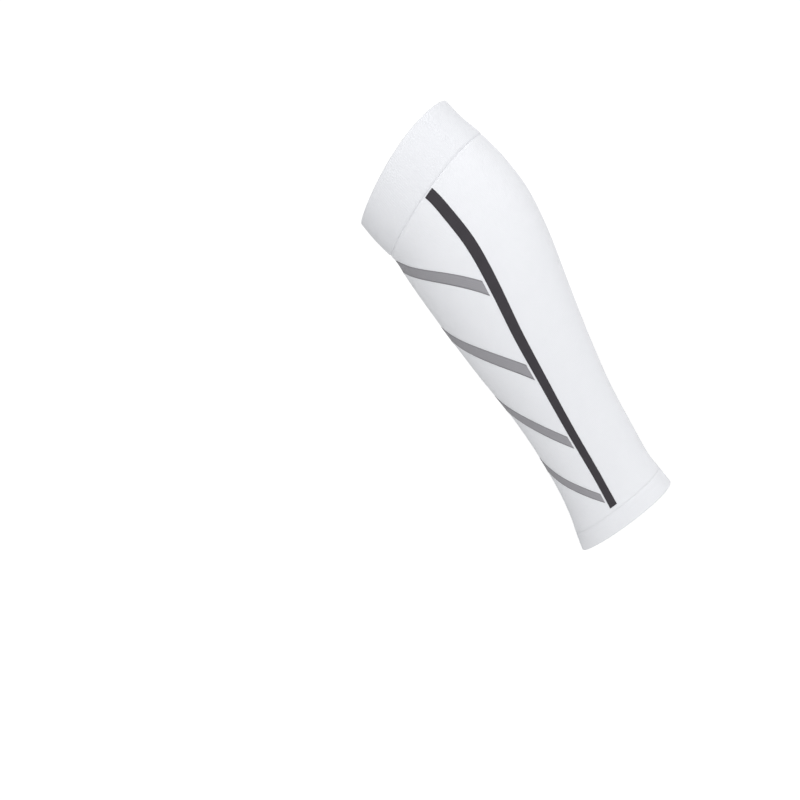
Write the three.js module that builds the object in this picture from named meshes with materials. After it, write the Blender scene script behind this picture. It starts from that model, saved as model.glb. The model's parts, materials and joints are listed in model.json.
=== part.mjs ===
// Footless compression calf sleeve, in the shape it has when worn.
// Millimetres. The origin is the centre of the ankle opening, +Z runs up to the knee opening,
// -Y is the shin side, +Y the calf side and +X the outer side.

import * as THREE from 'three';
import { mergeVertices } from 'three/addons/utils/BufferGeometryUtils.js';

// Driving dimensions of the whole sleeve.
const SLEEVE_LENGTH = 340; // ankle edge to knee edge, along the axis
const CUFF_HEIGHT = 40;
const HEM_HEIGHT = 15;
const ANKLE_SLANT = 6.2; // degrees that the ankle edge falls towards the shin side
const KNEE_SLANT = 22.3; // degrees that the knee edge falls towards the shin side
const CUFF_CREST = 6; // rise of the knee edge at its two sides
const CREST_START = 240; // height at which that rise begins
const SHIN_TAPER = 0.1; // share by which the shin half is narrower, and the calf half wider, than the middle

// Thickness of the knit, and the clearances between pieces.
const BODY_WALL = 1.2;
const CUFF_WALL = 2.2; // two layers
const HEM_WALL = 2; // two layers
const SEAM_GAP = 0.3;
const SEAM_DIP = 0.6; // how far the body's ends turn in at a seam
const SEAM_ROLL = 2; // height of that turn
const STRIPE_LIFT = 0.35; // clearance between a stripe and the wall
const STRIPE_THICKNESS = 0.5;

// Facets.
const FACETS_AROUND = 56;
const ROW_STEP = 12; // largest height of a facet
const EDGE_STEPS = 4; // on a folded edge
const SIDE_STRIPE_ROWS = 24;
const SHIN_STRIPE_COLUMNS = 30;
const STRIPE_STRANDS = 2; // facets across a stripe

// Sections of the outer surface: the height above the ankle edge, the reach of the shin side
// and of the calf side from the axis, and the half width from side to side.
const FORM_SECTIONS = [
  { height: 0, shin: 45, calf: 45, side: 36.4 },
  { height: 14, shin: 42.2, calf: 43.7, side: 35 },
  { height: 28, shin: 38.8, calf: 42.1, side: 33.8 },
  { height: 50, shin: 36, calf: 43, side: 33.3 },
  { height: 90, shin: 34.4, calf: 46, side: 35.8 },
  { height: 130, shin: 36.4, calf: 52.3, side: 41 },
  { height: 170, shin: 41, calf: 60.8, side: 47 },
  { height: 210, shin: 44.3, calf: 69.5, side: 53 },
  { height: 245, shin: 46.6, calf: 73.3, side: 56 },
  { height: 275, shin: 47.9, calf: 70.6, side: 56 },
  { height: 292, shin: 47.8, calf: 67, side: 55 },
  { height: 305, shin: 50.6, calf: 64, side: 54.4 },
  { height: 322, shin: 53.8, calf: 58.8, side: 53.5 },
  { height: 340, shin: 55.8, calf: 55.2, side: 53.2 },
];

// Course of a side stripe: the angle of its middle from the shin side and the angle that it
// takes up, both in degrees.
const SIDE_STRIPE_COURSE = [
  { height: 20, turn: 77.5, width: 8.8 },
  { height: 90, turn: 74.7, width: 9.3 },
  { height: 165, turn: 77.2, width: 9.2 },
  { height: 250, turn: 81.8, width: 8.6 },
  { height: 300, turn: 79.9, width: 8.5 },
];
const SIDE_STRIPE_FOOT = 20;
const CHEVRON_GAP = 2.2; // degrees between a chevron's end and the side stripe

// Grey chevrons on the shin side: the height of the middle of the band at its peak and at its ends,
// the power of the curve between them, and the band's upright height at its peak and at its ends.
const SHIN_STRIPES = [
  { name: 'shin_stripe_1', peak: 288.6, foot: 217.2, bow: 1.42, peakBand: 12.5, footBand: 14 },
  { name: 'shin_stripe_2', peak: 218.2, foot: 144.3, bow: 1.15, peakBand: 15.4, footBand: 15.4 },
  { name: 'shin_stripe_3', peak: 142.6, foot: 80, bow: 1.07, peakBand: 15, footBand: 12 },
  { name: 'shin_stripe_4', peak: 79, foot: 29, bow: 1.14, peakBand: 12.4, footBand: 8.6 },
];

// Materials.
const whiteKnit = new THREE.MeshStandardMaterial({ color: 0xeceef2, roughness: 0.85, metalness: 0 });
const cuffKnit = new THREE.MeshStandardMaterial({ color: 0xe4e6eb, roughness: 0.88, metalness: 0 });
const charcoalYarn = new THREE.MeshStandardMaterial({ color: 0x47444a, roughness: 0.82, metalness: 0 });
const greyYarn = new THREE.MeshStandardMaterial({ color: 0x99989d, roughness: 0.84, metalness: 0 });

const { clamp, degToRad, lerp, smoothstep } = THREE.MathUtils;

// Value of one column of a table at a height, on a smooth curve through the rows.
function along(table, column, height) {
  const slopeAt = (row) => {
    const before = table[Math.max(row - 1, 0)];
    const after = table[Math.min(row + 1, table.length - 1)];
    return (after[column] - before[column]) / (after.height - before.height);
  };
  const below = table.findLastIndex((entry) => entry.height <= height);
  const row = clamp(below, 0, table.length - 2);
  const low = table[row];
  const high = table[row + 1];
  const span = high.height - low.height;
  const t = clamp((height - low.height) / span, 0, 1);
  const startPull = (t ** 3 - 2 * t ** 2 + t) * span * slopeAt(row);
  const endPull = (t ** 3 - t ** 2) * span * slopeAt(row + 1);
  return lerp(low[column], high[column], t * t * (3 - 2 * t)) + startPull + endPull;
}

// Point of the worn form: turn is the angle from the shin side towards the outer side in radians,
// and offset the distance outside the knit's outer face.
function formPoint(turn, height, offset) {
  const shin = along(FORM_SECTIONS, 'shin', height) + offset;
  const calf = along(FORM_SECTIONS, 'calf', height) + offset;
  const side = along(FORM_SECTIONS, 'side', height) + offset;
  const slant = degToRad(lerp(ANKLE_SLANT, KNEE_SLANT, height / SLEEVE_LENGTH));
  const x = side * Math.sin(turn) * (1 - SHIN_TAPER * Math.cos(turn));
  const y = (calf - shin) / 2 - ((calf + shin) / 2) * Math.cos(turn);
  const crest = smoothstep(height, CREST_START, SLEEVE_LENGTH) * CUFF_CREST;
  const z = height + y * Math.tan(slant) + crest * Math.sin(turn) ** 2;
  return [x, y, z];
}

// Moves every vertex of a pattern to its place on the worn form and welds the result.
function fitToForm(pattern, place) {
  const position = pattern.getAttribute('position');
  for (let i = 0; i < position.count; i += 1) {
    const point = place(position.getX(i), position.getY(i), position.getZ(i));
    position.setXYZ(i, ...point);
  }
  pattern.deleteAttribute('normal');
  pattern.deleteAttribute('uv');
  const fitted = mergeVertices(pattern);
  fitted.computeVertexNormals();
  return fitted;
}

// Ring of knit around the worn form, turned from a closed outline of heights and offsets.
const TURNING_RADIUS = 100; // radius of the straight pattern tube before it is fitted

function ringOfKnit(outline) {
  const profile = [...outline, outline[0]].map(
    ({ height, offset }) => new THREE.Vector2(TURNING_RADIUS + offset, height),
  );
  const pattern = new THREE.LatheGeometry(profile, FACETS_AROUND);
  return fitToForm(pattern, (x, y, z) => formPoint(Math.atan2(x, z), y, Math.hypot(x, z) - TURNING_RADIUS));
}

// Even steps from one height to the next, without the first of them.
function stepsBetween(from, to) {
  const count = Math.ceil((to - from) / ROW_STEP);
  return Array.from({ length: count }, (_, i) => lerp(from, to, (i + 1) / count));
}

// Rising stations of a wall at a constant offset, with one at every section of the form.
function wallRun(bottom, top, offset) {
  const sections = FORM_SECTIONS.map((section) => section.height);
  const inside = sections.filter((height) => height > bottom && height < top);
  const stops = [bottom, ...inside, top];
  const heights = stops.slice(1).flatMap((height, i) => stepsBetween(stops[i], height));
  return [bottom, ...heights].map((height) => ({ height, offset }));
}

// Rounded edge where the knit folds over, from its outer face to its inner face.
// The fold's two end stations belong to the runs beside it.
function foldedEdge(height, wall, upward) {
  const radius = wall / 2;
  return Array.from({ length: EDGE_STEPS - 1 }, (_, i) => {
    const angle = (Math.PI * (i + 1)) / EDGE_STEPS;
    return {
      height: height + upward * radius * Math.sin(angle),
      offset: radius * Math.cos(angle) - radius,
    };
  });
}

// Knitted tube between the hem and the cuff. Both ends turn in a little, which shows as a groove.
function sleeveBody() {
  const bottom = HEM_HEIGHT + SEAM_GAP / 2;
  const top = SLEEVE_LENGTH - CUFF_HEIGHT - SEAM_GAP / 2;
  return ringOfKnit([
    { height: bottom, offset: -SEAM_DIP },
    ...wallRun(bottom + SEAM_ROLL, top - SEAM_ROLL, 0),
    { height: top, offset: -SEAM_DIP },
    ...wallRun(bottom, top, -BODY_WALL).reverse(),
  ]);
}

// Doubled band at the knee edge, with a fold along its upper rim.
function topCuff() {
  const bottom = SLEEVE_LENGTH - CUFF_HEIGHT + SEAM_GAP / 2;
  const top = SLEEVE_LENGTH - CUFF_WALL / 2;
  return ringOfKnit([
    { height: bottom, offset: -SEAM_DIP },
    ...wallRun(bottom + SEAM_ROLL, top, 0),
    ...foldedEdge(top, CUFF_WALL, 1),
    ...wallRun(bottom, top, -CUFF_WALL).reverse(),
  ]);
}

// Doubled hem at the ankle edge, with a fold along its lower rim.
function bottomHem() {
  const bottom = HEM_WALL / 2;
  const top = HEM_HEIGHT - SEAM_GAP / 2;
  return ringOfKnit([
    ...wallRun(bottom, top - SEAM_ROLL, 0),
    { height: top, offset: -SEAM_DIP },
    ...wallRun(bottom, top, -HEM_WALL).reverse(),
    ...foldedEdge(bottom, HEM_WALL, -1).reverse(),
  ]);
}

// Flat strip of unit size, which a stripe bends to its course: x along, y across, z through.
function stripPattern(columns, rows) {
  return new THREE.BoxGeometry(1, 1, 1, columns, rows, 1);
}

function stripeOffset(through) {
  return STRIPE_LIFT + (through + 0.5) * STRIPE_THICKNESS;
}

// Charcoal stripe up one side of the sleeve: hand is 1 for the outer side and -1 for the inner side.
function sideStripe(hand) {
  const top = SLEEVE_LENGTH - CUFF_HEIGHT - SEAM_ROLL;
  const pattern = stripPattern(STRIPE_STRANDS, SIDE_STRIPE_ROWS);
  return fitToForm(pattern, (across, up, through) => {
    const height = lerp(SIDE_STRIPE_FOOT, top, up + 0.5);
    const middle = along(SIDE_STRIPE_COURSE, 'turn', height);
    const turn = hand * middle + across * along(SIDE_STRIPE_COURSE, 'width', height);
    return formPoint(degToRad(turn), height, stripeOffset(through));
  });
}

// Grey chevron across the shin side, from the inner side stripe to the outer one.
function shinStripe({ peak, foot, bow, peakBand, footBand }) {
  const pattern = stripPattern(SHIN_STRIPE_COLUMNS, STRIPE_STRANDS);
  return fitToForm(pattern, (x, y, through) => {
    const reach = Math.abs(x) * 2;
    const band = lerp(peakBand, footBand, reach);
    const height = lerp(peak, foot, reach ** bow) + y * band;
    const halfStripe = along(SIDE_STRIPE_COURSE, 'width', height) / 2;
    const end = along(SIDE_STRIPE_COURSE, 'turn', height) - halfStripe - CHEVRON_GAP;
    const turn = Math.sign(x) * reach * end;
    return formPoint(degToRad(turn), height, stripeOffset(through));
  });
}

// Assembly.
const sleeve = new THREE.Group();

function addPiece(name, geometry, material) {
  const piece = new THREE.Mesh(geometry, material);
  piece.name = name;
  sleeve.add(piece);
}

addPiece('sleeve_body', sleeveBody(), whiteKnit);
addPiece('top_cuff', topCuff(), cuffKnit);
addPiece('bottom_hem', bottomHem(), whiteKnit);
addPiece('side_stripe_outer', sideStripe(1), charcoalYarn);
addPiece('side_stripe_inner', sideStripe(-1), charcoalYarn);
for (const stripe of SHIN_STRIPES) {
  addPiece(stripe.name, shinStripe(stripe), greyYarn);
}

export default sleeve;
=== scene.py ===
"""Calf sleeve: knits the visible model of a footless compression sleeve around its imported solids."""

import json
import math
from functools import cache
from typing import NamedTuple

import bmesh
import bpy
from bpy.props import FloatProperty, FloatVectorProperty, IntProperty, PointerProperty
from mathutils import Matrix, Vector, noise

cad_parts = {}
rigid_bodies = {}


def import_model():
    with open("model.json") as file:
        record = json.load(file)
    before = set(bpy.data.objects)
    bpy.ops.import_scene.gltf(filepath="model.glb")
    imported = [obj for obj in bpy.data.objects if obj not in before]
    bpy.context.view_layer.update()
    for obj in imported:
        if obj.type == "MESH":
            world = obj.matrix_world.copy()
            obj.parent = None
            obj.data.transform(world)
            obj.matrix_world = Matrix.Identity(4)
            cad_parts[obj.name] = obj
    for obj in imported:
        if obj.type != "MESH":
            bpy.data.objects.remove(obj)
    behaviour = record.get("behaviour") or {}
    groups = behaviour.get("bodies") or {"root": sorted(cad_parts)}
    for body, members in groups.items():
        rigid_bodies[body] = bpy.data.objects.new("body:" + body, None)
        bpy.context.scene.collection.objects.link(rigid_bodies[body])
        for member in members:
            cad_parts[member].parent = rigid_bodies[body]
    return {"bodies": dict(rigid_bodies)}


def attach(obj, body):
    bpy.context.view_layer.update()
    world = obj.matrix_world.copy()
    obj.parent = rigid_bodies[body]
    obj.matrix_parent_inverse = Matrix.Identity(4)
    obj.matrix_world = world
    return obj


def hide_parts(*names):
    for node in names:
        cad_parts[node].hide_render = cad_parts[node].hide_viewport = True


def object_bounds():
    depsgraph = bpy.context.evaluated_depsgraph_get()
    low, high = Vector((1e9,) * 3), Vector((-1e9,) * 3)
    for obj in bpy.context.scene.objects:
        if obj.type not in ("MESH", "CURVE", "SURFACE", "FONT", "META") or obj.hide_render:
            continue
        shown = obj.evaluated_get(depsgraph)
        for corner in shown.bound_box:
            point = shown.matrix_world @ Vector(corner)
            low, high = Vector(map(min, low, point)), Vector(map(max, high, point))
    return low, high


bl_info = {
    "name": "Calf Sleeve",
    "version": (1, 0, 0),
    "blender": (4, 5, 0),
    "location": "View3D > Sidebar > Calf Sleeve",
    "description": "Knits a footless compression calf sleeve around its packed solids",
    "category": "Object",
}

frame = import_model()
cad_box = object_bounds()

(BODY,) = frame["bodies"]  # the one body that every piece rides on
FULL_TURN = 2 * math.pi


class Section(NamedTuple):
    """Outer face of the sleeve at a height: its reach to the shin and the calf side, and half its width."""

    height: float
    shin: float
    calf: float
    side: float


class Bearing(NamedTuple):
    """A side stripe at a height: its middle's angle from the shin side and its width, in degrees."""

    height: float
    turn: float
    width: float


class Chevron(NamedTuple):
    """Grey band across the shin side: heights of its middle, power of its curve, and its upright width."""

    node: str
    peak: float
    foot: float
    bow: float
    peak_band: float
    foot_band: float


# Worn form in metres, as the solids have it

FORM_SECTIONS = (
    Section(0.000, 0.0450, 0.0450, 0.0364),
    Section(0.014, 0.0422, 0.0437, 0.0350),
    Section(0.028, 0.0388, 0.0421, 0.0338),
    Section(0.050, 0.0360, 0.0430, 0.0333),
    Section(0.090, 0.0344, 0.0460, 0.0358),
    Section(0.130, 0.0364, 0.0523, 0.0410),
    Section(0.170, 0.0410, 0.0608, 0.0470),
    Section(0.210, 0.0443, 0.0695, 0.0530),
    Section(0.245, 0.0466, 0.0733, 0.0560),
    Section(0.275, 0.0479, 0.0706, 0.0560),
    Section(0.292, 0.0478, 0.0670, 0.0550),
    Section(0.305, 0.0506, 0.0640, 0.0544),
    Section(0.322, 0.0538, 0.0588, 0.0535),
    Section(0.340, 0.0558, 0.0552, 0.0532),
)
SLEEVE_LENGTH = FORM_SECTIONS[-1].height
ANKLE_SLANT = math.radians(6.2)  # slant of the ankle edge, up towards the calf side
KNEE_SLANT = math.radians(22.3)  # slant of the knee edge, the same way
CUFF_CREST = 0.006  # rise of the knee edge at its two sides
CREST_START = 0.240  # height at which that rise begins
SHIN_TAPER = 0.1  # share by which the shin half is narrower, and the calf half wider, than the middle

SIDE_STRIPE_COURSE = (
    Bearing(0.020, 77.5, 8.8),
    Bearing(0.090, 74.7, 9.3),
    Bearing(0.165, 77.2, 9.2),
    Bearing(0.250, 81.8, 8.6),
    Bearing(0.300, 79.9, 8.5),
)
SHIN_STRIPES = (
    Chevron("shin_stripe_1", 0.2886, 0.2172, 1.42, 0.0125, 0.0140),
    Chevron("shin_stripe_2", 0.2182, 0.1443, 1.15, 0.0154, 0.0154),
    Chevron("shin_stripe_3", 0.1426, 0.0800, 1.07, 0.0150, 0.0120),
    Chevron("shin_stripe_4", 0.0790, 0.0290, 1.14, 0.0124, 0.0086),
)


class SleeveSizes(bpy.types.PropertyGroup):
    """Sizes of the knit that can be changed without changing the sleeve's outline."""

    cuff_height: FloatProperty(
        name="Cuff height", description="Height of the doubled band at the knee edge",
        default=0.040, unit="LENGTH",
    )
    hem_height: FloatProperty(
        name="Hem height", description="Height of the turned-up hem at the ankle edge",
        default=0.015, unit="LENGTH",
    )
    body_wall: FloatProperty(
        name="Body wall", description="Thickness of the single knit",
        default=0.0012, unit="LENGTH",
    )
    cuff_wall: FloatProperty(
        name="Cuff wall", description="Thickness of the doubled cuff",
        default=0.0022, unit="LENGTH",
    )
    hem_wall: FloatProperty(
        name="Hem wall", description="Thickness of the doubled hem",
        default=0.0020, unit="LENGTH",
    )
    seam_gap: FloatProperty(
        name="Seam gap", description="Clearance between two pieces at a seam",
        default=0.00006, unit="LENGTH",
    )
    cuff_dip: FloatProperty(
        name="Cuff seam dip", description="How far the knit is drawn in beside the cuff's seam",
        default=0.0006, unit="LENGTH",
    )
    hem_dip: FloatProperty(
        name="Hem seam dip", description="How far the knit is drawn in beside the hem's seam",
        default=0.0003, unit="LENGTH",
    )
    hem_line: FloatProperty(
        name="Hem line", description="Height of the shallow line around the hem",
        default=0.0093, unit="LENGTH",
    )
    hem_line_dip: FloatProperty(
        name="Hem line dip", description="How far the knit is drawn in along the hem's line",
        default=0.00016, unit="LENGTH",
    )
    seam_roll: FloatProperty(
        name="Seam roll", description="Height over which the knit is drawn in beside a seam",
        default=0.0010, unit="LENGTH",
    )
    wales: IntProperty(
        name="Wales", description="Columns of stitches around the sleeve",
        default=216,
    )
    course_height: FloatProperty(
        name="Course height", description="Height of one row of stitches",
        default=0.0011, unit="LENGTH",
    )
    rib_depth: FloatProperty(
        name="Rib depth", description="Height of the cuff's ribs, one to each column of stitches",
        default=0.00004, unit="LENGTH",
    )
    relief: FloatProperty(
        name="Relief", description="Height of the slow rise and fall of the stretched knit",
        default=0.00025, unit="LENGTH",
    )
    stripe_foot: FloatProperty(
        name="Side stripe foot", description="Height at which a side stripe starts",
        default=0.0187, unit="LENGTH",
    )
    stripe_clearance: FloatProperty(
        name="Side stripe clearance", description="Distance of a side stripe's upper end from the cuff",
        default=0.0013, unit="LENGTH",
    )
    chevron_gap: FloatProperty(
        name="Chevron gap", description="Gap between a chevron's end and the side stripe",
        default=math.radians(2.2), subtype="ANGLE",
    )
    chevron_draw: FloatProperty(
        name="Chevron draw", description="Share of a chevron's width by which its upper edge is drawn in",
        default=0.09, subtype="FACTOR",
    )
    stripe_lift: FloatProperty(
        name="Stripe lift", description="Clearance between a stripe and the knit under it",
        default=0.00006, unit="LENGTH",
    )
    stripe_thickness: FloatProperty(
        name="Stripe thickness", description="Thickness of a stripe's coloured yarn",
        default=0.00018, unit="LENGTH",
    )


class SleeveColours(bpy.types.PropertyGroup):
    """Colours of the yarns and of the studio."""

    white: FloatVectorProperty(
        name="White knit", description="Yarn of the body and the hem",
        default=(0.83, 0.84, 0.87), size=3, subtype="COLOR", min=0, max=1,
    )
    cuff: FloatVectorProperty(
        name="Cuff knit", description="Yarn of the cuff",
        default=(0.78, 0.79, 0.82), size=3, subtype="COLOR", min=0, max=1,
    )
    charcoal: FloatVectorProperty(
        name="Charcoal yarn", description="Yarn of the side stripes",
        default=(0.055, 0.050, 0.058), size=3, subtype="COLOR", min=0, max=1,
    )
    grey: FloatVectorProperty(
        name="Grey yarn", description="Yarn of the chevrons",
        default=(0.352, 0.347, 0.370), size=3, subtype="COLOR", min=0, max=1,
    )
    floor: FloatVectorProperty(
        name="Floor", description="Plain pale floor of the studio",
        default=(0.92, 0.92, 0.92), size=3, subtype="COLOR", min=0, max=1,
    )


class SleeveStage(bpy.types.PropertyGroup):
    """Camera and light of the studio."""

    camera_distance: FloatProperty(
        name="Camera distance", description="Distance of the camera from the sleeve's axis",
        default=1.0, unit="LENGTH",
    )
    camera_sideways: FloatProperty(
        name="Camera sideways", description="Place of the camera from the shin side to the calf side",
        default=-0.1057, unit="LENGTH",
    )
    camera_height: FloatProperty(
        name="Camera height", description="Height of the camera above the ankle edge",
        default=0.1782, unit="LENGTH",
    )
    camera_roll: FloatProperty(
        name="Camera roll", description="Lean of the sleeve in the picture",
        default=math.radians(32.256), subtype="ANGLE",
    )
    half_view: FloatProperty(
        name="Half view", description="Half the width that the camera sees at the sleeve",
        default=0.3259, unit="LENGTH",
    )
    floor_drop: FloatProperty(
        name="Floor drop", description="Depth of the floor below the ankle edge",
        default=0.35, unit="LENGTH",
    )
    floor_glow: FloatProperty(
        name="Floor glow", description="Light that the floor gives off, as a lit sweep does",
        default=0.55,
    )
    key_power: FloatProperty(
        name="Key light", description="Power of the soft light above the camera",
        default=8.0, unit="POWER",
    )
    rim_power: FloatProperty(
        name="Rim light", description="Power of the soft light on the calf side",
        default=2.7, unit="POWER",
    )


# Surface of the worn form

RELIEF_ROUND = 1.6  # swellings around the sleeve
RELIEF_ALONG = 0.045  # length of a swelling along it
RELIEF_ANKLE_FADE = 0.03  # height over which the swellings begin above the ankle edge
RELIEF_KNEE_FADE = 0.06  # height over which they end below the knee edge


def smooth_step(value, low, high):
    """Rises smoothly from 0 at the low value to 1 at the high one."""
    t = min(max((value - low) / (high - low), 0), 1)
    return t * t * (3 - 2 * t)


def along(table, column, height):
    """Value of one column of a table at a height, on a smooth curve through the rows."""

    def slope_at(row):
        before, after = table[max(row - 1, 0)], table[min(row + 1, len(table) - 1)]
        return (getattr(after, column) - getattr(before, column)) / (after.height - before.height)

    below = [i for i, entry in enumerate(table) if entry.height <= height]
    row = min(below[-1] if below else 0, len(table) - 2)
    low, high = table[row], table[row + 1]
    span = high.height - low.height
    t = min(max((height - low.height) / span, 0), 1)
    start, end = getattr(low, column), getattr(high, column)
    blend = t * t * (3 - 2 * t)
    start_pull = (t**3 - 2 * t**2 + t) * span * slope_at(row)
    end_pull = (t**3 - t**2) * span * slope_at(row + 1)
    return start + (end - start) * blend + start_pull + end_pull


class Girth(NamedTuple):
    """The form all around at a height: reaches, half width, slope towards the calf side and side crest."""

    shin: float
    calf: float
    side: float
    slope: float
    crest: float


@cache
def girth_at(height):
    """Measures of the form at a height, worked out once."""
    slant = ANKLE_SLANT + (KNEE_SLANT - ANKLE_SLANT) * height / SLEEVE_LENGTH
    return Girth(
        shin=along(FORM_SECTIONS, "shin", height),
        calf=along(FORM_SECTIONS, "calf", height),
        side=along(FORM_SECTIONS, "side", height),
        slope=math.tan(slant),
        crest=CUFF_CREST * smooth_step(height, CREST_START, SLEEVE_LENGTH),
    )


def relief_at(sizes, turn, height):
    """Slow rise and fall of the stretched knit, none at the two edges."""
    begin = smooth_step(height, 0, RELIEF_ANKLE_FADE)
    end = smooth_step(SLEEVE_LENGTH - height, 0, RELIEF_KNEE_FADE)
    place = Vector((math.sin(turn), math.cos(turn), 0)) * RELIEF_ROUND
    place.z = height / RELIEF_ALONG
    return sizes.relief * begin * end * noise.noise(place)


def form_point(sizes, turn, height, offset):
    """Point of the form at an angle in radians from the shin side, and at an offset outwards."""
    girth = girth_at(height)
    lift = offset + relief_at(sizes, turn, height)
    sine, cosine = math.sin(turn), math.cos(turn)
    x = (girth.side + lift) * sine * (1 - SHIN_TAPER * cosine)
    y = (girth.calf - girth.shin) / 2 - ((girth.calf + girth.shin) / 2 + lift) * cosine
    return Vector((x, y, height + y * girth.slope + girth.crest * sine * sine))


# Shader arithmetic

MIX_FACTOR, MIX_FIRST, MIX_SECOND, MIX_RESULT = 0, 6, 7, 2  # a Mix node's sockets for colours


class Signal:
    """A shader socket in arithmetic: each operator adds one Math node to the socket's tree."""

    def __init__(self, socket):
        self.socket = socket

    @classmethod
    def add_node(cls, tree, kind, settings=None, sockets=None, output=0):
        """Adds a node of any kind: its settings first, then the values or links of its sockets."""
        node = tree.nodes.new(kind)
        for name, value in (settings or {}).items():
            setattr(node, name, value)
        for name, value in (sockets or {}).items():
            if isinstance(value, Signal):
                value.feed(node.inputs[name])
            else:
                node.inputs[name].default_value = value
        return cls(node.outputs[output])

    @property
    def tree(self):
        return self.socket.id_data

    def feed(self, socket):
        self.tree.links.new(self.socket, socket)

    def work_out(self, operation, first, second=0.0):
        settings = {"operation": operation}
        return self.add_node(self.tree, "ShaderNodeMath", settings, {0: first, 1: second})

    def __add__(self, other):
        return self.work_out("ADD", self, other)

    def __radd__(self, other):
        return self.work_out("ADD", other, self)

    def __sub__(self, other):
        return self.work_out("SUBTRACT", self, other)

    def __rsub__(self, other):
        return self.work_out("SUBTRACT", other, self)

    def __mul__(self, other):
        return self.work_out("MULTIPLY", self, other)

    def __rmul__(self, other):
        return self.work_out("MULTIPLY", other, self)

    def __truediv__(self, other):
        return self.work_out("DIVIDE", self, other)

    def __rtruediv__(self, other):
        return self.work_out("DIVIDE", other, self)

    def __abs__(self):
        return self.work_out("ABSOLUTE", self)

    def fraction(self):
        return self.work_out("FRACT", self)

    def step(self, low, high):
        """Smooth step from 0 at the first value to 1 at the second."""
        settings = {"interpolation_type": "SMOOTHSTEP"}
        limits = {"Value": self, "From Min": low, "From Max": high}
        return self.add_node(self.tree, "ShaderNodeMapRange", settings, limits)

    def parts(self):
        """The three parts of a vector."""
        split = self.add_node(self.tree, "ShaderNodeSeparateXYZ", sockets={"Vector": self})
        return [Signal(output) for output in split.socket.node.outputs]

    def mix(self, first, second):
        """First colour where this is 0, second colour where it is 1."""
        settings = {"data_type": "RGBA", "blend_type": "MIX"}
        colours = {MIX_FACTOR: self, MIX_FIRST: first, MIX_SECOND: second}
        return self.add_node(self.tree, "ShaderNodeMix", settings, colours, MIX_RESULT)


def rgba(colour, factor=1.0):
    return (*(channel * factor for channel in colour), 1.0)


def plain_material(name):
    """New material, with its node tree and the sockets of its shader."""
    material = bpy.data.materials.new(name)
    material.use_nodes = True
    tree = material.node_tree
    return material, tree, tree.nodes["Principled BSDF"].inputs


# Finish of the yarns


class Yarn(NamedTuple):
    """Finish of one yarn: how deep its stitches are, how dark its painted shade in the pits and its mottle
    go, how much its colour varies, and its fuzz.
    """

    depth: float
    shade: float
    mottle: float
    sheen: float
    banded: bool = False  # painted shade along the edges and fine lines along the band


# shade is each yarn's brightness where its painted pit shade and mottle are darkest
WHITE_YARN = Yarn(depth=0.40, shade=0.90, mottle=0.03, sheen=0.12)
CUFF_YARN = Yarn(depth=0.20, shade=0.90, mottle=0.03, sheen=0.12)
CHARCOAL_YARN = Yarn(depth=0.45, shade=0.72, mottle=0.10, sheen=0.10)
GREY_YARN = Yarn(depth=0.45, shade=0.84, mottle=0.06, sheen=0.10, banded=True)

KNIT_MAP = "Knit"  # wales and courses
BAND_MAP = "Band"  # along and across a stripe, from 0 to 1
BAKE_MAP = "OFBake"  # a ring cut into strips that fill a square from 0 to 1, for baking

SHEEN_ROUGHNESS = 0.45
YARN_GLOSS = 0.25
YARN_ROUGHNESS = 0.74
PIT_ROUGHNESS = 0.14  # added between the strands
FIBRE_ROUGHNESS = 0.06  # added by the fibres
STITCH_RELIEF = 0.00035  # depth of a stitch, in metres
FIBRE_RELIEF = 0.35  # height of the fibres as a share of a stitch's
STITCH_RISE = 1.2  # courses that a strand climbs across one wale
PIT_SHADE = 0.75  # how far painted shade darkens the pits between the strands
FIBRE_SCALE = 2.7  # fibres to a stitch
FIBRE_MOTTLE = 4  # strength of a yarn's mottle in its fibres
PATCH_SCALE = 0.12  # slow patches to a stitch, so one to about eight stitches
PATCH_MOTTLE = 6  # strength of a yarn's mottle in the patches
NOISE_DETAIL = 2.0
NOISE_MEAN = 0.5

BAND_EDGE_SHADE_AND_LINE_TONE = 0.55  # brightness of a chevron's painted edge shade and of its fine lines, as a share of its yarn's
BAND_EDGE = (0.72, 0.98)  # where the painted edge shade begins and is full, with the band's middle at 0 and its rim at 1
# share of the painted edge shade in a chevron's darkening
BAND_EDGE_SHARE = 0.75
BAND_LINES = 6  # fine lines along a chevron
BAND_LINE_SHARE = 0.15


def map_signal(tree, name):
    return Signal.add_node(tree, "ShaderNodeUVMap", {"uv_map": name})


def yarn_noise(stitches, scale):
    """Uneven tone over the map of stitches."""
    sockets = {"Vector": stitches, "Scale": scale, "Detail": NOISE_DETAIL}
    return Signal.add_node(stitches.tree, "ShaderNodeTexNoise", {"noise_dimensions": "2D"}, sockets)


def stitch_height(stitches):
    """Height of plain knit: slanted strands in pairs, one pair to each wale and course."""
    wale, course, _ = stitches.parts()
    off_middle = abs(wale.fraction() - 0.5)
    across = off_middle * 4 - 1  # from -1 to 1 over a strand
    climb = (course - off_middle * STITCH_RISE).fraction() * 2 - 1  # the same over a course
    return (1 - across * across) * (1 - climb * climb)


def band_edge_shade_and_lines(tree):
    """How dark a chevron is across its band: painted shade along its edges, with fine lines between them.
    """
    _, across, _ = map_signal(tree, BAND_MAP).parts()
    # painted shade towards the band's edges
    edge = abs(across * 2 - 1).step(*BAND_EDGE)
    line = abs((across * BAND_LINES).fraction() * 2 - 1)
    return edge * BAND_EDGE_SHARE + line * BAND_LINE_SHARE


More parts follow.
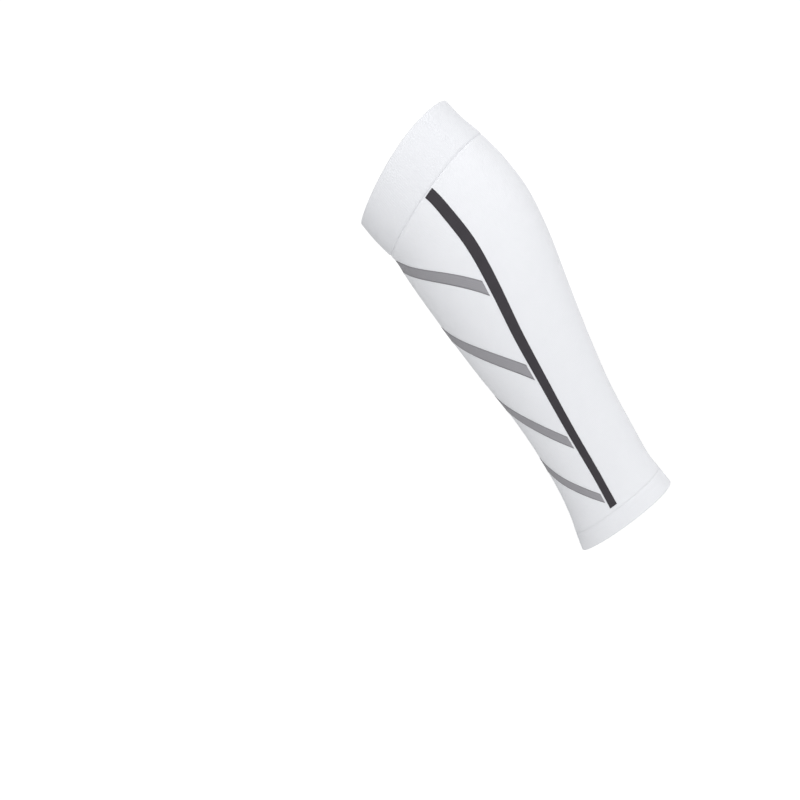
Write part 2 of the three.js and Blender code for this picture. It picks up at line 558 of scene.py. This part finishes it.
def knit_material(name, colour, yarn):
    """Plain knit of one yarn, on the piece's own map of stitches."""
    material, tree, finish = plain_material(name)
    finish["Sheen Weight"].default_value = yarn.sheen
    finish["Sheen Roughness"].default_value = SHEEN_ROUGHNESS
    finish["Specular IOR Level"].default_value = YARN_GLOSS

    stitches = map_signal(tree, KNIT_MAP)
    strand = stitch_height(stitches)
    pit = 1 - strand
    fibre = yarn_noise(stitches, FIBRE_SCALE)
    patch = yarn_noise(stitches, PATCH_SCALE) - NOISE_MEAN

    # painted shade in the pits between the strands, with random mottle in the fibres and patches
    tone = pit * PIT_SHADE + fibre * (yarn.mottle * FIBRE_MOTTLE) + patch * (yarn.mottle * PATCH_MOTTLE)
    base = tone.mix(rgba(colour), rgba(colour, yarn.shade))
    if yarn.banded:
        # painted edge shade and fine lines darken the chevron
        base = band_edge_shade_and_lines(tree).mix(base, rgba(colour, BAND_EDGE_SHADE_AND_LINE_TONE))
    base.feed(finish["Base Color"])

    rough = YARN_ROUGHNESS + pit * PIT_ROUGHNESS + fibre * FIBRE_ROUGHNESS
    rough.feed(finish["Roughness"])

    height = strand + fibre * FIBRE_RELIEF
    relief = {"Strength": yarn.depth, "Distance": STITCH_RELIEF, "Height": height}
    Signal.add_node(tree, "ShaderNodeBump", sockets=relief).feed(finish["Normal"])
    return material


# Flat patterns and finished pieces

MERGE_DISTANCE = 1e-6


def pattern_grid(columns, rows):
    """Flat pattern from 0 to 1 both ways."""
    bm = bmesh.new()
    middle = Matrix.Translation((0.5, 0.5, 0))
    bmesh.ops.create_grid(bm, x_segments=columns, y_segments=rows, size=0.5, matrix=middle)
    return bm


def lay_pattern(bm, place, stitch, flat_map, strips=1):
    """Carries a flat pattern to the form, with a map of stitches and one of the pattern cut into strips."""
    knit_layer = bm.loops.layers.uv.new(KNIT_MAP)
    flat_layer = bm.loops.layers.uv.new(flat_map)
    for face in bm.faces:
        strip = math.floor(face.calc_center_median().x * strips)
        for loop in face.loops:
            x, y = loop.vert.co.xy
            loop[flat_layer].uv = (x * strips - strip, (y + strip) / strips)
            loop[knit_layer].uv = stitch(x, y)
    for vert in bm.verts:
        vert.co = place(*vert.co.xy)


def mesh_object(name, bm, material):
    """Makes an object of a mesh and puts it in the scene."""
    mesh = bpy.data.meshes.new(name)
    bm.to_mesh(mesh)
    bm.free()
    mesh.materials.append(material)
    thing = bpy.data.objects.new(name, mesh)
    bpy.context.scene.collection.objects.link(thing)
    return thing


def finish_piece(name, bm, material, node):
    """Makes a smooth piece of a mesh and ties it to the frame."""
    for face in bm.faces:
        face.smooth = True
    piece = mesh_object(name, bm, material)
    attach(piece, BODY)
    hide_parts(node)
    return piece


# Knitted rings

BODY_COLUMNS = 288  # facets around the body and the hem
RIB_COLUMNS = 6  # facets of one cuff rib
BODY_STEP = 0.0026  # most height between two rows of the body's outer face
CUFF_STEP = 0.0024  # the same for the cuff
HEM_STEP = 0.0005  # the same for the hem
INNER_STEP = 0.0100  # the same for every inner face
SEAM_STEP = 0.0003  # the same beside a seam
SEAM_RUN = 0.0024  # height of the fine rows beside a seam
FOLD_STEPS = 10  # facets of a rounded fold
STEP_SLACK = 1e-9  # keeps rounding from adding a step
RIB_FADE = (0.3, 0.9)  # depth in the wall at which the ribs begin to fade and are gone
CUFF_STRIPS = 2  # strips of the cuff on its map for baking
HEM_STRIPS = 3  # the same for the hem


class Station(NamedTuple):
    """One row of a knitted ring: its height on the form and its distance outside the form's face."""

    height: float
    offset: float


def even_steps(low, high, step):
    """Heights from one to another, both included, in even steps no larger than the one given."""
    count = max(1, math.ceil((high - low) / step - STEP_SLACK))
    return [low + (high - low) * i / count for i in range(count + 1)]


def rows_between(low, high, step, fine_low=False, fine_high=False):
    """Rising heights, with fine rows beside the ends that lie at a seam."""
    start = low + SEAM_RUN if fine_low else low
    stop = high - SEAM_RUN if fine_high else high
    rows = even_steps(start, stop, step)
    if fine_low:
        rows = even_steps(low, start, SEAM_STEP)[:-1] + rows
    if fine_high:
        rows = rows + even_steps(stop, high, SEAM_STEP)[1:]
    return rows


def inner_face(low, high, wall):
    """Falling rows of a ring's inner face."""
    return [Station(height, -wall) for height in reversed(even_steps(low, high, INNER_STEP))]


def folded_edge(height, wall, upward):
    """Rows of a rounded fold from the outer face to the inner one, without its two ends."""
    radius = wall / 2
    angles = [math.pi * i / FOLD_STEPS for i in range(1, FOLD_STEPS)]
    return [
        Station(height + upward * radius * math.sin(angle), radius * math.cos(angle) - radius)
        for angle in angles
    ]


def drawn_in(dip, distance, sizes):
    """How far the knit is drawn in at a distance from a seam."""
    return dip * math.exp(-((distance / sizes.seam_roll) ** 2))


def knit_ring(sizes, outline, columns, strips=1, rib=None):
    """Closed ring of knit: the outline of its wall is carried once around the form."""
    rows = [*outline, outline[0]]
    run = [0.0]
    for low, high in zip(rows, rows[1:]):
        run.append(run[-1] + math.hypot(high.height - low.height, high.offset - low.offset))
    bm = pattern_grid(columns, len(rows) - 1)

    def row_of(up):
        return round(up * (len(rows) - 1))

    def place(around, up):
        station = rows[row_of(up)]
        turn = FULL_TURN * around
        raised = rib(turn, station) if rib else 0
        return form_point(sizes, turn, station.height, station.offset + raised)

    def stitch(around, up):
        course = (rows[0].height + run[row_of(up)]) / sizes.course_height
        return around * sizes.wales, course

    lay_pattern(bm, place, stitch, BAKE_MAP, strips)
    bmesh.ops.remove_doubles(bm, verts=bm.verts, dist=MERGE_DISTANCE)
    return bm


def knit_body(sizes, colours):
    """Tube between the hem and the cuff, drawn in a little at both seams."""
    bottom = sizes.hem_height + sizes.seam_gap / 2
    top = SLEEVE_LENGTH - sizes.cuff_height - sizes.seam_gap / 2

    def outer_station(height):
        at_hem = drawn_in(sizes.hem_dip, height - bottom, sizes)
        at_cuff = drawn_in(sizes.cuff_dip, top - height, sizes)
        return Station(height, -at_hem - at_cuff)

    heights = rows_between(bottom, top, BODY_STEP, fine_low=True, fine_high=True)
    outer = [outer_station(height) for height in heights]
    bm = knit_ring(sizes, outer + inner_face(bottom, top, sizes.body_wall), BODY_COLUMNS)
    material = knit_material("white_knit", colours.white, WHITE_YARN)
    return finish_piece("knit_body", bm, material, "sleeve_body")


def knit_cuff(sizes, colours):
    """Doubled band at the knee edge: fine ribs run up its face and over the folded edge."""
    bottom = SLEEVE_LENGTH - sizes.cuff_height + sizes.seam_gap / 2
    top = SLEEVE_LENGTH - sizes.cuff_wall / 2

    def rib(turn, station):
        inside = -station.offset / sizes.cuff_wall
        return sizes.rib_depth * math.cos(turn * sizes.wales) * (1 - smooth_step(inside, *RIB_FADE))

    heights = rows_between(bottom, top, CUFF_STEP, fine_low=True)
    outer = [Station(height, -drawn_in(sizes.cuff_dip, height - bottom, sizes)) for height in heights]
    fold = folded_edge(top, sizes.cuff_wall, 1)
    outline = outer + fold + inner_face(bottom, top, sizes.cuff_wall)
    bm = knit_ring(sizes, outline, sizes.wales * RIB_COLUMNS, CUFF_STRIPS, rib)
    material = knit_material("cuff_knit", colours.cuff, CUFF_YARN)
    return finish_piece("knit_cuff", bm, material, "top_cuff")


def knit_hem(sizes, colours):
    """Doubled hem at the ankle edge, with a shallow line around it and a fold below."""
    bottom = sizes.hem_wall / 2
    top = sizes.hem_height - sizes.seam_gap / 2

    def outer_station(height):
        at_seam = drawn_in(sizes.hem_dip, top - height, sizes)
        at_line = drawn_in(sizes.hem_line_dip, height - sizes.hem_line, sizes)
        return Station(height, -at_seam - at_line)

    heights = rows_between(bottom, top, HEM_STEP, fine_high=True)
    outer = [outer_station(height) for height in heights]
    fold = folded_edge(bottom, sizes.hem_wall, -1)
    outline = outer + inner_face(bottom, top, sizes.hem_wall) + fold[::-1]
    bm = knit_ring(sizes, outline, BODY_COLUMNS, HEM_STRIPS)
    material = knit_material("hem_knit", colours.white, WHITE_YARN)
    return finish_piece("knit_hem", bm, material, "bottom_hem")


# Knitted stripes

STRIPE_STEP = 0.0022  # length of a side stripe's facets
STRIPE_STRANDS = 8  # facets across a stripe
CHEVRON_COLUMNS = 150  # facets along a chevron


def knit_stripe(sizes, columns, rows, course):
    """Thin band of coloured yarn close over the knit; course gives the angle and height of a point."""
    bm = pattern_grid(columns, rows)

    def place(x, y):
        return form_point(sizes, *course(x, y), sizes.stripe_lift + sizes.stripe_thickness)

    def stitch(x, y):
        turn, height = course(x, y)
        return turn / FULL_TURN * sizes.wales, height / sizes.course_height

    lay_pattern(bm, place, stitch, BAND_MAP)
    return bm


def thicken(piece, thickness):
    """Gives a band its thickness, inwards from the face that shows."""
    wall = piece.modifiers.new("Thickness", "SOLIDIFY")
    wall.thickness = thickness
    wall.offset = -1


def side_course(sizes, top, hand):
    """Course of a side stripe up to a height, on the outer side for 1 and the inner side for -1."""

    def course(x, y):
        height = sizes.stripe_foot + (top - sizes.stripe_foot) * y
        middle = along(SIDE_STRIPE_COURSE, "turn", height)
        width = along(SIDE_STRIPE_COURSE, "width", height)
        return math.radians(hand * middle + (x - 0.5) * width), height

    return course


def chevron_course(sizes, stripe):
    """Course of a chevron from the inner side stripe over its peak to the outer one."""

    def course(x, y):
        reach = abs(2 * x - 1)
        band = stripe.peak_band + (stripe.foot_band - stripe.peak_band) * reach
        middle = stripe.peak + (stripe.foot - stripe.peak) * reach**stripe.bow
        height = middle + ((1 - sizes.chevron_draw) * y - 0.5) * band
        half_stripe = along(SIDE_STRIPE_COURSE, "width", height) / 2
        stripe_edge = math.radians(along(SIDE_STRIPE_COURSE, "turn", height) - half_stripe)
        return math.copysign(reach * (stripe_edge - sizes.chevron_gap), x - 0.5), height

    return course


def knit_side_stripes(sizes, colours):
    """Charcoal stripe up each side of the sleeve, from above the hem to the cuff."""
    material = knit_material("charcoal_yarn", colours.charcoal, CHARCOAL_YARN)
    top = SLEEVE_LENGTH - sizes.cuff_height - sizes.stripe_clearance
    rows = math.ceil((top - sizes.stripe_foot) / STRIPE_STEP)
    for node, hand in (("side_stripe_outer", 1), ("side_stripe_inner", -1)):
        bm = knit_stripe(sizes, STRIPE_STRANDS, rows, side_course(sizes, top, hand))
        piece = finish_piece(f"knit_{node}", bm, material, node)
        thicken(piece, sizes.stripe_thickness)


def knit_shin_stripes(sizes, colours):
    """Grey chevrons across the shin side, each from the inner side stripe to the outer one."""
    material = knit_material("grey_yarn", colours.grey, GREY_YARN)
    for stripe in SHIN_STRIPES:
        bm = knit_stripe(sizes, CHEVRON_COLUMNS, STRIPE_STRANDS, chevron_course(sizes, stripe))
        piece = finish_piece(f"knit_{stripe.node}", bm, material, stripe.node)
        thicken(piece, sizes.stripe_thickness)


# Studio

SKY_LIGHT = 0.46  # brightness of the surround above the horizon
SKY_TO_CAMERA = 0.34  # added on the camera's side, and taken away on the other
SKY_TO_CALF = 0.20  # the same for the calf side
SKY_TO_TOP = 0.10  # the same for straight above
HORIZON_LIGHT = 0.56  # brightness of the surround where it meets the floor
HORIZON_RUN = (0.10, 0.45)  # upward part of a direction over which the horizon turns to sky
BACKDROP_LIGHT = 1.08  # brightness of the surround behind the sleeve
BACKDROP_RUN = (0.70, 0.87)  # part of a direction away from the camera over which it begins

FLOOR_RADIUS = 30.0
FLOOR_FACETS = 96
FLOOR_ROUGHNESS = 0.9
UNLIT_SHARE = 0.10  # glow of the floor outside its lit part
LIT_RUN = (-0.35, 0.15)  # distance behind the sleeve's axis over which the glow begins
LIT_SPREAD = (0.60, 1.0)  # sideways distance for each metre from the camera over which it ends

LAMP_SIZE = 0.7
KEY_PLACE = Vector((1.15, 0.0, 0.79))
RIM_PLACE = Vector((0.0, 1.21, 0.67))
SENSOR_WIDTH = 36.0  # millimetres


def studio_world():
    """White behind the sleeve; above the horizon brightest on the camera's side and the calf side."""
    world = bpy.data.worlds.new("studio")
    bpy.context.scene.world = world
    world.use_nodes = True
    tree = world.node_tree
    background = tree.nodes["Background"].inputs
    background["Color"].default_value = (1, 1, 1, 1)
    x, y, z = Signal.add_node(tree, "ShaderNodeTexCoord", output="Generated").parts()
    sky = SKY_LIGHT + x * SKY_TO_CAMERA + y * SKY_TO_CALF + z * SKY_TO_TOP
    around = HORIZON_LIGHT + z.step(*HORIZON_RUN) * (sky - HORIZON_LIGHT)
    level = around + (0 - x).step(*BACKDROP_RUN) * (BACKDROP_LIGHT - around)
    level.feed(background["Strength"])


def floor_material(stage, colours):
    """Pale floor that is lit from within behind the sleeve, as a lit sweep is."""
    material, tree, finish = plain_material("pale_floor")
    finish["Base Color"].default_value = rgba(colours.floor)
    finish["Roughness"].default_value = FLOOR_ROUGHNESS
    finish["Emission Strength"].default_value = stage.floor_glow
    x, y, _ = Signal.add_node(tree, "ShaderNodeTexCoord", output="Object").parts()
    beside = (abs(y) / abs(stage.camera_distance - x)).step(*LIT_SPREAD)
    lit = (0 - x).step(*LIT_RUN) * (1 - beside)
    glow = lit.mix(rgba(colours.floor, UNLIT_SHARE), rgba(colours.floor))
    glow.feed(finish["Emission Color"])
    return material


def build_floor(stage, colours):
    bm = bmesh.new()
    bmesh.ops.create_circle(bm, cap_ends=True, radius=FLOOR_RADIUS, segments=FLOOR_FACETS)
    bmesh.ops.translate(bm, verts=bm.verts, vec=(0, 0, -stage.floor_drop))
    floor = mesh_object("floor", bm, floor_material(stage, colours))


def soft_lamp(name, place, power):
    """Round soft lamp that faces the middle of the sleeve."""
    light = bpy.data.lights.new(name, "AREA")
    light.shape = "DISK"
    light.size = LAMP_SIZE
    light.energy = power
    lamp = bpy.data.objects.new(name, light)
    middle = (cad_box[0] + cad_box[1]) / 2
    lamp.location = place
    lamp.rotation_euler = (middle - place).to_track_quat("-Z", "Y").to_euler()
    bpy.context.scene.collection.objects.link(lamp)


def build_camera(stage):
    """Camera square to the sleeve's outer side, rolled so that the sleeve leans as in the photograph."""
    lens = bpy.data.cameras.new("camera")
    lens.sensor_width = SENSOR_WIDTH
    lens.lens = SENSOR_WIDTH / 2 * stage.camera_distance / stage.half_view
    camera = bpy.data.objects.new("camera", lens)
    right = Vector((0, math.cos(stage.camera_roll), -math.sin(stage.camera_roll)))
    up = Vector((0, math.sin(stage.camera_roll), math.cos(stage.camera_roll)))
    back = Vector((1, 0, 0))
    place = Vector((stage.camera_distance, stage.camera_sideways, stage.camera_height))
    turned = Matrix((right, up, back)).transposed().to_4x4()
    camera.matrix_world = Matrix.Translation(place) @ turned
    bpy.context.scene.collection.objects.link(camera)
    bpy.context.scene.camera = camera


def build_stage(stage, colours):
    """Pale floor, soft light and the camera at the photograph's angle."""
    bpy.context.scene.view_settings.view_transform = "Standard"
    studio_world()
    build_floor(stage, colours)
    soft_lamp("key", KEY_PLACE, stage.key_power)
    soft_lamp("rim", RIM_PLACE, stage.rim_power)
    build_camera(stage)


# Add-on


class CALF_SLEEVE_OT_stage(bpy.types.Operator):
    """Sets up the floor, the light and the camera"""

    bl_idname = "calf_sleeve.stage"
    bl_label = "Set the Stage"

    def execute(self, context):
        build_stage(context.scene.sleeve_stage, context.scene.sleeve_colours)
        return {"FINISHED"}


class CALF_SLEEVE_OT_body(bpy.types.Operator):
    """Knits the tube between the hem and the cuff"""

    bl_idname = "calf_sleeve.body"
    bl_label = "Knit the Body"

    def execute(self, context):
        knit_body(context.scene.sleeve_sizes, context.scene.sleeve_colours)
        return {"FINISHED"}


class CALF_SLEEVE_OT_cuff(bpy.types.Operator):
    """Knits the ribbed cuff at the knee edge"""

    bl_idname = "calf_sleeve.cuff"
    bl_label = "Knit the Cuff"

    def execute(self, context):
        knit_cuff(context.scene.sleeve_sizes, context.scene.sleeve_colours)
        return {"FINISHED"}


class CALF_SLEEVE_OT_hem(bpy.types.Operator):
    """Knits the folded hem at the ankle edge"""

    bl_idname = "calf_sleeve.hem"
    bl_label = "Knit the Hem"

    def execute(self, context):
        knit_hem(context.scene.sleeve_sizes, context.scene.sleeve_colours)
        return {"FINISHED"}


class CALF_SLEEVE_OT_side_stripes(bpy.types.Operator):
    """Knits the charcoal stripe up each side"""

    bl_idname = "calf_sleeve.side_stripes"
    bl_label = "Knit the Side Stripes"

    def execute(self, context):
        knit_side_stripes(context.scene.sleeve_sizes, context.scene.sleeve_colours)
        return {"FINISHED"}


class CALF_SLEEVE_OT_shin_stripes(bpy.types.Operator):
    bl_idname = "calf_sleeve.shin_stripes"
    bl_label = "Knit the Shin Stripes"

    def execute(self, context):
        knit_shin_stripes(context.scene.sleeve_sizes, context.scene.sleeve_colours)
        return {"FINISHED"}


GROUPS = {"sleeve_sizes": SleeveSizes, "sleeve_colours": SleeveColours, "sleeve_stage": SleeveStage}
OPERATORS = (
    CALF_SLEEVE_OT_stage,
    CALF_SLEEVE_OT_body,
    CALF_SLEEVE_OT_cuff,
    CALF_SLEEVE_OT_hem,
    CALF_SLEEVE_OT_side_stripes,
    CALF_SLEEVE_OT_shin_stripes,
)


class CALF_SLEEVE_PT_panel(bpy.types.Panel):
    """Sidebar list of the steps and of what can be changed"""

    bl_label = "Calf Sleeve"
    bl_idname = "CALF_SLEEVE_PT_panel"
    bl_space_type = "VIEW_3D"
    bl_region_type = "UI"
    bl_category = "Calf Sleeve"

    def draw(self, context):
        for operator in OPERATORS:
            self.layout.operator(operator.bl_idname)
        for group_name in GROUPS:
            group = getattr(context.scene, group_name)
            box = self.layout.box()
            for name in group.bl_rna.properties.keys():
                if name not in {"rna_type", "name"}:
                    box.prop(group, name)


CLASSES = (*GROUPS.values(), *OPERATORS, CALF_SLEEVE_PT_panel)


def register():
    for item in CLASSES:
        bpy.utils.register_class(item)
    for name, group in GROUPS.items():
        setattr(bpy.types.Scene, name, PointerProperty(type=group))


def unregister():
    for name in GROUPS:
        delattr(bpy.types.Scene, name)
    for item in reversed(CLASSES):
        bpy.utils.unregister_class(item)


def main():
    register()
    bpy.ops.calf_sleeve.stage()
    bpy.ops.calf_sleeve.body()
    bpy.ops.calf_sleeve.cuff()
    bpy.ops.calf_sleeve.hem()
    bpy.ops.calf_sleeve.side_stripes()
    bpy.ops.calf_sleeve.shin_stripes()


if __name__ == "__main__":
    main()
